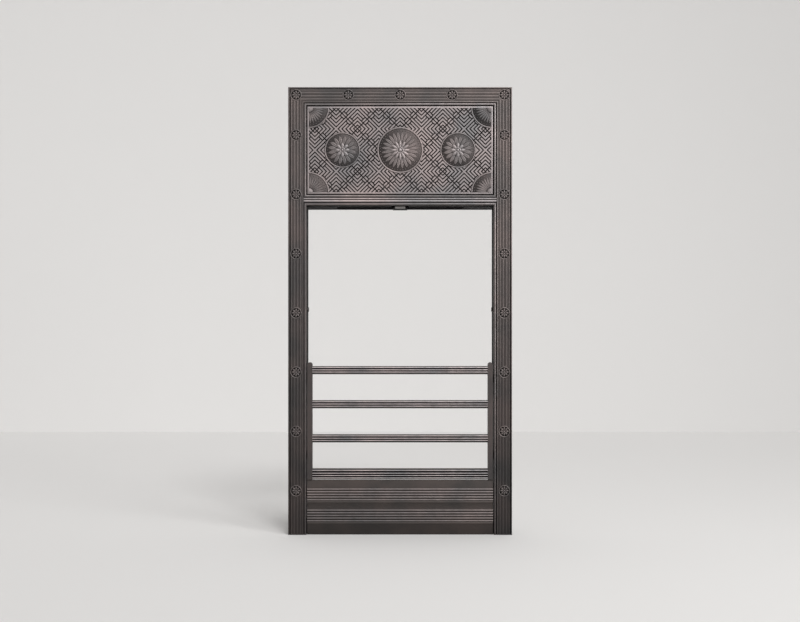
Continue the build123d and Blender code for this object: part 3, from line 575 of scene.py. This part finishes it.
def petal(shell, place, angle, inner, outer, width, base, rise, lengthwise=7, crosswise=6, hollow=0.0):
    """A leaf-shaped lobe that swells from its stem and rounds off at its tip."""
    rows = []
    for n in range(lengthwise + 1):
        t = n / lengthwise
        half = LEAF_TIP
        if n < lengthwise:
            wave = sin(pi * (OUTLINE_START + OUTLINE_RUN * t) ** OUTLINE_LEAN)
            half = max(LEAF_TIP, width / 2 * wave ** OUTLINE_FULL)
        crest = rise * (END_RISE + (1 - END_RISE) * sin(pi * min(1.0, CREST_START + CREST_RUN * t)))
        row = []
        for m in range(crosswise + 1):
            s = 2 * m / crosswise - 1
            swell = sqrt(max(0.0, 1 - s * s)) * (1 - hollow * (1 - abs(s)) ** 2)
            along, beside = inner + (outer - inner) * t, half * s
            x = place[0] + along * cos(angle) - beside * sin(angle)
            z = place[1] + along * sin(angle) + beside * cos(angle)
            row.append((x, base - crest * swell, z))
        rows.append(row)
    top = [point for row in rows for point in row]
    count = crosswise + 1
    edge = [r * count for r in range(len(rows))]
    edge += [(r + 1) * count - 1 for r in reversed(range(len(rows)))]
    faces = []
    for r in range(lengthwise):
        for c in range(crosswise):
            a = r * count + c
            faces.append((a, a + 1, a + 1 + count, a + count))
    faces.append(tuple(edge))
    shell.add(top, faces)


def half_round(middle, width, base, rise, steps=8):
    """A (radius, Y) outline of a ring with a round crest, closed below its base."""
    line = bead(middle - width / 2, width, rise, base, steps)
    return line + [(middle + width / 2, base + SUNK), (middle - width / 2, base + SUNK)]


def dome(radius, base, rise, steps=6):
    """A (radius, Y) outline of a round boss."""
    arc = [(radius * cos(pi / 2 * n / steps), base - rise * sin(pi / 2 * n / steps)) for n in range(steps)]
    return [(AXIS, base + SUNK), (radius, base + SUNK), *arc, (AXIS, base - rise)]


def paterae():
    """Small eight-leaved paterae with a rim and a boss, seated in their pockets."""
    shell = Shell()
    for place in patera_spots():
        rim = half_round(PATERA_RADIUS - PATERA_RIM_INSET, PATERA_RIM, PATERA_FLOOR, PATERA_RISE)
        shell.lathe(rim, place, 40)
        shell.lathe(dome(PATERA_BOSS, PATERA_FLOOR, PATERA_RISE, 4), place, 20)
        for n in range(PATERA_LEAVES):
            petal(shell, place, tau * n / PATERA_LEAVES, LEAF_FROM, PATERA_RADIUS - LEAF_INSET, LEAF_WIDTH,
                  PATERA_FLOOR, LEAF_RISE, 5, 4)
    return shell


def frame_back(shell):
    """Ribs, feet, pads and lugs in the channel behind the frame."""
    front, back = WEB_BACK - 1, -2
    levels = [(level - RIB / 2, level + RIB / 2) for level in RIB_LEVELS]
    outline = [(front, -LUG_HALF), (LUG_END, -LUG_HALF), (LUG_END, LUG_HALF), (front, LUG_HALF)]
    for side in SIDES:
        near, far = sorted((side * (OPENING_HALF + 1), side * (HALF_WIDTH - 1)))
        for low, high in [FOOT_BAR, *levels]:
            shell.box((near, front, low), (far, back, high), BACK_EDGE)
        for level in LUG_LEVELS:
            lug = [(y, level + z) for y, z in softened(outline, LUG_ROUND)]
            lug = softened(lug, LUG_EDGE, radians(20))
            ends = (OPENING_HALF + LUG_FROM, OPENING_HALF + LUG_TO)
            shell.grid([[(side * x, y, z) for y, z in lug] for x in ends], around=True, caps=True)
        x, z = WALL_PAD
        shell.drilled_pad((side * x, z), WALL_PAD_HALF, front, WALL_HOLE)
        for x, z in SCREW_PADS:
            shell.drilled_pad((side * x, z), SCREW_PAD_HALF, front, SCREW_HOLE)
    for x in RIBS_ABOVE:
        shell.box((x - RIB / 2, front, PANEL_TOP + 1), (x + RIB / 2, back, HEIGHT - 1), BACK_EDGE)


border = Shell()
border.grid(up_and_over(border_section(), HALF_WIDTH, HEIGHT), around=True, caps=True)
border_mesh = with_pockets(border.to_mesh("border", weld=False), patera_spots(), PATERA_RADIUS, PATERA_FLOOR)
finish_mesh("frame_border", border_mesh, IRON_FRONT, "front", ("front_frame",))

rims = Shell()
rims.grid(up_and_over(rim_section(), HALF_WIDTH, FIRE_TOP + STILE), around=True, caps=True)
rims.grid(all_round(rim_section(), HALF_WIDTH, PANEL_BOTTOM - STILE, PANEL_TOP + STILE),
          around=True, loop=True)
rims.into("frame_rims", IRON_RIM, "front", "blacked_cast_iron", ("front_frame",))

transom = Shell()
transom_low, transom_high = FIRE_TOP + RIM, PANEL_BOTTOM - RIM
line = bead_run(transom_low, TRANSOM_REEDS, REED_RISE, FACE, TRANSOM_CUT, TRANSOM_CUT)
line += [(transom_high, WEB_BACK), (transom_low, WEB_BACK)]
transom.grid(across(softened(line, TRANSOM_ROUND), OPENING_HALF + RIM), around=True, caps=True)
transom.into("frame_transom", IRON_TRANSOM_LIT, "front", "blacked_cast_iron", ("front_frame",))

back_work = Shell()
frame_back(back_work)
back_work.into("frame_back", IRON_FRONT, "front", "blacked_cast_iron", ("front_frame",))
paterae().into("frame_paterae", IRON_PATERA, "front", "blacked_cast_iron", sharp=50.0)


# Hood panel

# The dished plate: its border round the field, its walls, back flange and screw ears
PANEL_HALF, PANEL_GAP, FIELD, BORDER, BORDER_RISE = 189.3, 2.2, -12.6, 3.2, 1.4
PANEL_SKIN, PANEL_WALL, PANEL_ROUND = 5.5, 5.0, 0.8
FLANGE, FLANGE_BACK, FLANGE_BELOW = 11.2, 5.0, 4.0
EAR_FROM, EAR_TO, EAR_HALF, EAR_EDGE = 7, 24, 15, 0.6
FIELD_HALF = PANEL_HALF - BORDER
FIELD_HEIGHT = (PANEL_TOP - PANEL_BOTTOM) / 2 - PANEL_GAP - BORDER

# The rounds' radii and low discs, and the fret: its spacing, bars, cell and the steps in which
# its ends are found, which lie a little under the rounds and the border
ROUNDEL, ROSETTE, FAN, ROSETTE_X = 48.0, 37.0, 42.0, 118.0
DISC_RISE, DISC_EDGE = 1.2, 0.4
RELIEF_BASE = FIELD - DISC_RISE
FRET_PITCH, FRET_BAR, FRET_RISE, FRET_EDGE, FRET_CELL = 5.6, 3.8, 1.3, 0.5, 11
FRET_STEP, UNDER_ROUND, UNDER_BORDER = 0.4, 1.5, 1.4

# Parts of a round, mostly as shares of its radius. Rim: width, inset and rise in millimetres.
# Pearls: how far out and how large. Leaves: start, end, where their width is reckoned and how
# much of the round they fill there, rise, steps, hollow and the first leaf's place.
ROUND_RIM = 0.09, 0.3, 1.5
PEARLS, FAN_PEARLS, FAN_PEARL_COUNT, PEARL_DENSITY = (0.845, 0.026), (0.83, 0.028), 9, 0.95
OUTER_LEAVES = 0.30, 0.80, 0.60, 0.92, 1.55, 9, 0.55, 0.5
INNER_LEAVES = 0.10, 0.43, 0.28, 1.05, 1.95, 7, 0.0, 0.0
FAN_LEAVES = 0.24, 0.77, 0.56, 0.95, 1.5, 8, 0.4, 0.5
COLLAR, COLLAR_WIDTH, COLLAR_RISE, BOSS, BOSS_RISE = 0.125, 0.07, 2.05, 0.095, 2.15
FAN_BOSS = (0.2, 0.8), (0.15, 1.5), (0.0, 1.7)

# Leaves in a round's outer and inner tier, and in a fan
ROUNDEL_LEAVES, ROSETTE_LEAVES, FAN_LEAF_COUNT = (24, 12), (16, 8), 8


def panel_plate():
    """The dished plate with its border, walls and back flange, and the ears for its screws."""
    shell = Shell()
    line = [(BORDER, FIELD), (BORDER, FIELD - BORDER_RISE), (0, FIELD - BORDER_RISE), (0, 0), (-FLANGE, 0),
            (-FLANGE, FLANGE_BACK), (PANEL_WALL, FLANGE_BACK), (PANEL_WALL, FIELD + PANEL_SKIN)]
    line = softened(line, PANEL_ROUND, closed=False)
    low, high = PANEL_MIDDLE - FIELD_HEIGHT - BORDER, PANEL_MIDDLE + FIELD_HEIGHT + BORDER
    foot = (low - PANEL_BOTTOM + FLANGE_BELOW) / FLANGE
    rows = []
    for side, top in ((-1, False), (-1, True), (1, True), (1, False)):
        row = []
        for u, y in line:
            z = high - u if top else low + (u if u > 0 else u * foot)
            row.append((side * (PANEL_HALF - u), y, z))
        rows.append(row)
    shell.grid(rows, loop=True)
    shell.add([row[0] for row in rows], [(0, 1, 2, 3)])
    shell.add([row[-1] for row in rows], [(0, 1, 2, 3)])
    for side in SIDES:
        near, far = sorted((side * (OPENING_HALF + EAR_FROM), side * (OPENING_HALF + EAR_TO)))
        low, high = PANEL_MIDDLE - EAR_HALF, PANEL_MIDDLE + EAR_HALF
        shell.box((near, SHY, low), (far, FLANGE_BACK - SHY, high), EAR_EDGE)
    return shell


def medallion_ground(shell, place, radius, start=0.0, turn=tau, steps=72):
    """The low disc and round rim under a medallion, whole or in part."""
    disc = [(AXIS, FIELD + 0.5), (radius, FIELD + 0.5), (radius, RELIEF_BASE + DISC_EDGE),
            (radius - DISC_EDGE, RELIEF_BASE), (AXIS, RELIEF_BASE)]
    shell.lathe(disc, place, steps, start, turn)
    share, inset, rise = ROUND_RIM
    width = share * radius
    rim = half_round(radius - width / 2 - inset, width, RELIEF_BASE, rise)
    shell.lathe(rim, place, steps, start, turn)


def pearl_ring(shell, place, radius, pearls, count, start=0.0, turn=tau):
    """A ring of small pearls in a round, or part of one."""
    out, size = (radius * share for share in pearls)
    for n in range(count):
        a = start + turn * (n + 0.5) / count
        spot = (place[0] + out * cos(a), place[1] + out * sin(a))
        shell.lathe(dome(size, RELIEF_BASE, size * 0.9, 3), spot, 10)


def leaf_ring(shell, place, radius, leaves, count, start=0.0, turn=tau):
    """A tier of leaves in a round, or part of one."""
    inner, outer, middle, fill, rise, steps, hollow, first = leaves
    width = turn * radius * middle / count * fill
    for n in range(count):
        angle = start + turn * (n + first) / count
        petal(shell, place, angle, radius * inner, radius * outer, width, RELIEF_BASE, rise, steps, 6, hollow)


def medallion(shell, place, radius, outer, inner):
    """A round medallion: rim, pearls, two tiers of leaves and a boss."""
    medallion_ground(shell, place, radius)
    pearl_ring(shell, place, radius, PEARLS, round(radius * PEARL_DENSITY))
    leaf_ring(shell, place, radius, OUTER_LEAVES, outer)
    leaf_ring(shell, place, radius, INNER_LEAVES, inner)
    shell.lathe(half_round(radius * COLLAR, radius * COLLAR_WIDTH, RELIEF_BASE, COLLAR_RISE, 6), place, 32)
    shell.lathe(dome(radius * BOSS, RELIEF_BASE, BOSS_RISE), place, 28)


def corner_fan(shell, place, start, radius, ribs):
    """A quarter fan in a corner of the field."""
    quarter = pi / 2
    medallion_ground(shell, place, radius, start, quarter, 24)
    pearl_ring(shell, place, radius, FAN_PEARLS, FAN_PEARL_COUNT, start, quarter)
    leaf_ring(shell, place, radius, FAN_LEAVES, ribs, start, quarter)
    outline = [(AXIS, RELIEF_BASE + SUNK), (radius * FAN_BOSS[0][0], RELIEF_BASE + SUNK)]
    outline += [(max(AXIS, radius * share), RELIEF_BASE - rise) for share, rise in FAN_BOSS]
    shell.lathe(outline, place, 10, start, quarter)


def medallion_places():
    """Middle and radius of everything round that covers the fret."""
    places = [((0, PANEL_MIDDLE), ROUNDEL)]
    places += [((side * ROSETTE_X, PANEL_MIDDLE), ROSETTE) for side in SIDES]
    corners = product(SIDES, repeat=2)
    return places + [((a * FIELD_HALF, PANEL_MIDDLE + b * FIELD_HEIGHT), FAN) for a, b in corners]


# Bars of an eighth of one fret cell, in bar spacings: from (s, t) to (s, t)
FRET_STROKES = (
    ((0, 0), (5, 0)), ((1, 1), (4, 1)), ((5, 1), (5, 2)), ((2, 2), (4, 2)), ((3, 3), (5, 3)),
    ((4, 4), (5, 4)), ((5, 5), (5, 5)),
)


def fret_strokes():
    """Every bar of the fret: its direction, its line and both ends, mirrored cell by cell."""
    reach = int((FIELD_HALF + FIELD_HEIGHT) / sqrt(2) / (FRET_PITCH * FRET_CELL)) + 1
    lines = {}
    for i, j in product(range(-reach, reach + 1), repeat=2):
        for ends in FRET_STROKES:
            for swap, far_s, far_t in product((False, True), repeat=3):
                line = []
                for s, t in ends:
                    s, t = (t, s) if swap else (s, t)
                    s = FRET_CELL - s if far_s else s
                    t = FRET_CELL - t if far_t else t
                    line.append((i * FRET_CELL + s, j * FRET_CELL + t))
                (s0, t0), (s1, t1) = sorted(line)
                key = (0, t0) if t0 == t1 else (1, s0)
                lines.setdefault(key, set()).add((s0, s1) if t0 == t1 else (t0, t1))
    strokes = []
    for (way, place), spans in sorted(lines.items()):
        merged = []
        for low, high in sorted(spans):
            if merged and low <= merged[-1][1]:
                merged[-1][1] = max(high, merged[-1][1])
            else:
                merged.append([low, high])
        strokes += [(way, place, low, high) for low, high in merged]
    return strokes


def kept_spans(start, end):
    """Shares of a stroke's length that lie on the bare field, found by small steps."""
    steps = max(2, int((end - start).length / FRET_STEP))
    holes = [(Vector(place), radius - UNDER_ROUND) for place, radius in medallion_places()]
    spans, first = [], None
    for n in range(steps + 1):
        spot = start.lerp(end, n / steps)
        inside = (abs(spot.x) < FIELD_HALF + UNDER_BORDER
                  and abs(spot.y - PANEL_MIDDLE) < FIELD_HEIGHT + UNDER_BORDER)
        bare = inside and all((spot - middle).length > radius for middle, radius in holes)
        if bare and first is None:
            first = n / steps
        if first is not None and (not bare or n == steps):
            last = n / steps if bare else (n - 1) / steps
            if last > first:
                spans.append((first, last))
            first = None
    return spans


def fret_bar(shell, start, end, rise):
    """One bar of the fret with its upper edges cut off."""
    along = (end - start).normalized()
    beside = Vector((-along.y, along.x))
    rows = []
    for inset, depth in ((0.0, SUNK), (0.0, FRET_EDGE - rise), (FRET_EDGE, -rise)):
        half = FRET_BAR / 2 - inset
        low, high = start - along * half, end + along * half
        corners = (low - beside * half, high - beside * half, high + beside * half, low + beside * half)
        rows.append([(c.x, FIELD + depth, c.y) for c in corners])
    shell.grid(rows, around=True, caps=True)


def fret():
    """The slanted fretwork over the whole field, between the medallions."""
    shell = Shell()
    lean = sqrt(0.5) * FRET_PITCH
    for way, place, low, high in fret_strokes():
        ends = ((low, place), (high, place)) if way == 0 else ((place, low), (place, high))
        start, end = (Vector(((a - b) * lean, (a + b) * lean + PANEL_MIDDLE)) for a, b in ends)
        if low == high:
            end = start + Vector((0.01, 0.01))
        for first, last in kept_spans(start, end):
            fret_bar(shell, start.lerp(end, first), start.lerp(end, last), FRET_RISE - SHY * way)
    return shell


panel_plate().into("panel_plate", IRON_PANEL, "front", "blacked_cast_iron", ("hood_panel",))
fret().into("panel_fret", IRON_PANEL, "front", "blacked_cast_iron", ("hood_panel",))
relief = Shell()
medallion(relief, (0, PANEL_MIDDLE), ROUNDEL, *ROUNDEL_LEAVES)
for side in SIDES:
    medallion(relief, (side * ROSETTE_X, PANEL_MIDDLE), ROSETTE, *ROSETTE_LEAVES)
for a, b, start in ((1, 1, pi), (-1, 1, 3 * pi / 2), (-1, -1, 0.0), (1, -1, pi / 2)):
    corner_fan(relief, (a * FIELD_HALF, PANEL_MIDDLE + b * FIELD_HEIGHT), start, FAN, FAN_LEAF_COUNT)
relief.into("panel_medallions", IRON_RELIEF, "front", "blacked_cast_iron", ("hood_panel",), sharp=50.0)


# Bars and ashpit cover

# Bars: the Y of their beads' base, their beads from the top down and how far the underside drops
BARS, BAR_PITCH, BAR_TOP = 4, 69.8, 344.0
BAR_BASE, BAR_DEPTH, BAR_RISE, BAR_CUT, BAR_ROUND = -11.5, 11.0, 1.9, 2.0, 0.5
TENON_HALF_DEPTH, TENON_HALF_HEIGHT, TENON_EDGE = 3.5, 4.0, 0.3
BAR_BEADS, LOW_BAR_BEADS = (5.1, 4.5, 4.4), (6.6, 4.9, 4.6, 5.4)
BAR_SLOPE, LOW_BAR_SLOPE = 2.6, 0.5
RAIL_INNER, RAIL_OUTER = 179.3, 189.5

# The cover: two bands of beads, each with a weaker last bead, and three flats between them
COVER_HALF, COVER_HEIGHT, COVER_FACE, COVER_SKIN, COVER_ROUND = 190.0, 111.9, -11.1, 5.5, 0.5
COVER_BEAD, COVER_BEADS, COVER_RISE = 5.4, 5, 1.7
COVER_LAST_BEAD, COVER_LAST_RISE = 4.0, 0.9
COVER_TOP_FLAT, COVER_MIDDLE_FLAT = 16.5, 12.0
COVER_CUT, COVER_CUT_DEPTH, LAST_BEAD_GAP = 0.8, 0.3, 0.4
WEB, WEB_TOP_BACK, WEB_SPREAD, WEB_ROUND = 6.0, -0.3, 50.0, 1.0
FOOT_REACH, FOOT_HEIGHT = 28.0, 6.0


def bar_shell(top, beads, slope):
    """A reeded bar with a sloping underside and its two tenons."""
    shell = Shell()
    low = top - sum(beads)
    line = bead_run(low, beads[::-1], BAR_RISE, BAR_BASE, BAR_CUT, BAR_CUT, 12)
    back, middle, level = BAR_BASE + BAR_DEPTH, BAR_BASE + BAR_DEPTH / 2, top - sum(beads) / 2
    line += [(top, back), (low - slope, back), (low - slope, middle)]
    shell.grid(across(softened(line, BAR_ROUND), RAIL_INNER), around=True, caps=True)
    for side in SIDES:
        near, far = sorted((side * (RAIL_INNER - 1), side * RAIL_OUTER))
        shell.box((near, middle - TENON_HALF_DEPTH, level - TENON_HALF_HEIGHT),
                  (far, middle + TENON_HALF_DEPTH, level + TENON_HALF_HEIGHT), TENON_EDGE)
    return shell


for number in range(BARS):
    lowest = number == BARS - 1
    beads, slope = (LOW_BAR_BEADS, LOW_BAR_SLOPE) if lowest else (BAR_BEADS, BAR_SLOPE)
    bar = bar_shell(BAR_TOP - number * BAR_PITCH, beads, slope)
    bar.into(f"reeded_bar_{number + 1}", IRON_BARS, "front_bars", "blacked_cast_iron",
             (f"front_bar_{number + 1}",))


def cover_shell():
    """The ashpit cover's reeded plate and the side webs that spread into feet."""
    shell = Shell()
    band = COVER_LAST_BEAD + COVER_BEAD * COVER_BEADS
    flats = (COVER_HEIGHT - COVER_TOP_FLAT - COVER_MIDDLE_FLAT - 2 * band, COVER_MIDDLE_FLAT)
    line, here = [(0.0, COVER_FACE)], 0.0
    for flat in flats:
        here += flat
        line += bead(here, COVER_LAST_BEAD - LAST_BEAD_GAP, COVER_LAST_RISE, COVER_FACE)
        here += COVER_LAST_BEAD
        beads = (COVER_BEAD,) * COVER_BEADS
        line += bead_run(here, beads, COVER_RISE, COVER_FACE, COVER_CUT, COVER_CUT_DEPTH, 10)
        here += COVER_BEAD * COVER_BEADS
    back = COVER_FACE + COVER_SKIN
    line += [(COVER_HEIGHT, COVER_FACE), (COVER_HEIGHT, back), (0, back)]
    shell.grid(across(softened(line, COVER_ROUND), COVER_HALF), around=True, caps=True)
    top = COVER_HEIGHT - SHY
    web = softened([(SHY, back - 1), (SHY, FOOT_REACH), (FOOT_HEIGHT, FOOT_REACH), (WEB_SPREAD, WEB_TOP_BACK),
                    (top, WEB_TOP_BACK), (top, back - 1)], WEB_ROUND)
    for side in SIDES:
        rows = [[(side * x, y, z) for z, y in web] for x in (COVER_HALF - WEB, COVER_HALF - SHY)]
        shell.grid(rows, around=True, caps=True)
    return shell


cover_shell().into("cover_plate", IRON_COVER, "ashpit_cover", "blacked_cast_iron", ("ashpit_cover",))


# Stage, lights and camera


def plane(name, corners, material):
    """A flat four-cornered sheet that isn't part of the object."""
    mesh = bpy.data.meshes.new(name)
    mesh.from_pydata([Vector(c) * MM for c in corners], [], [(0, 1, 2, 3)])
    mesh.materials.append(material)
    sheet = bpy.data.objects.new(name, mesh)
    bpy.context.collection.objects.link(sheet)


def area_lamp(name, place, target, size, power, fan):
    """A square soft lamp aimed at a place: its size in mm, power in watts and fan in degrees."""
    data = bpy.data.lights.new(name, "AREA")
    data.size = size * MM
    data.energy = power
    data.spread = radians(fan)
    lamp = bpy.data.objects.new(name, data)
    lamp.location = Vector(place) * MM
    aim = (Vector(target) - Vector(place)).to_track_quat("-Z", "Y")
    lamp.rotation_euler = aim.to_euler()
    bpy.context.collection.objects.link(lamp)


def sun_lamp(name, direction, strength, spread):
    """Even light from one direction, softened over an angle in degrees."""
    data = bpy.data.lights.new(name, "SUN")
    data.energy = strength
    data.angle = radians(spread)
    lamp = bpy.data.objects.new(name, data)
    lamp.rotation_euler = (-Vector(direction)).to_track_quat("-Z", "Y").to_euler()
    bpy.context.collection.objects.link(lamp)


# A pale floor and backdrop, wide enough to fill the picture from every side in front of it
STAGE_HALF, BACKDROP_Y = 40000.0, 2200.0
PALE, WORLD_STRENGTH = (0.72, 0.71, 0.70), 0.35
pale = plain_pale("pale_stage", PALE)
plane("floor", [(-STAGE_HALF, -STAGE_HALF, 0), (STAGE_HALF, -STAGE_HALF, 0),
                (STAGE_HALF, BACKDROP_Y, 0), (-STAGE_HALF, BACKDROP_Y, 0)], pale)
plane("backdrop", [(-STAGE_HALF, BACKDROP_Y, 0), (STAGE_HALF, BACKDROP_Y, 0),
                   (STAGE_HALF, BACKDROP_Y, STAGE_HALF), (-STAGE_HALF, BACKDROP_Y, STAGE_HALF)], pale)
sun_lamp("key", (0.2, -0.7, 0.69), 1.7, 22)
area_lamp("fill", (2200, -2300, 1500), (0, 0, 560), 1500, 13, 80)

world = bpy.data.worlds.new("studio")
bpy.context.scene.world = world
world.use_nodes = True
background = world.node_tree.nodes["Background"]
background.inputs["Color"].default_value = (*WHITE, 1.0)
background.inputs["Strength"].default_value = WORLD_STRENGTH

camera_data = bpy.data.cameras.new("camera")
camera_data.sensor_width = SENSOR
camera_data.lens = SENSOR * CAMERA_DISTANCE / (PHOTO_WIDTH * MM_PER_PIXEL)
camera = bpy.data.objects.new("camera", camera_data)
camera.location = Vector((CAMERA_OFFSET, BEAD_TOPS - CAMERA_DISTANCE, CAMERA_HEIGHT)) * MM
camera.rotation_euler = (pi / 2, 0, 0)
bpy.context.collection.objects.link(camera)
bpy.context.scene.camera = camera
bpy.context.scene.view_settings.view_transform = "Standard"
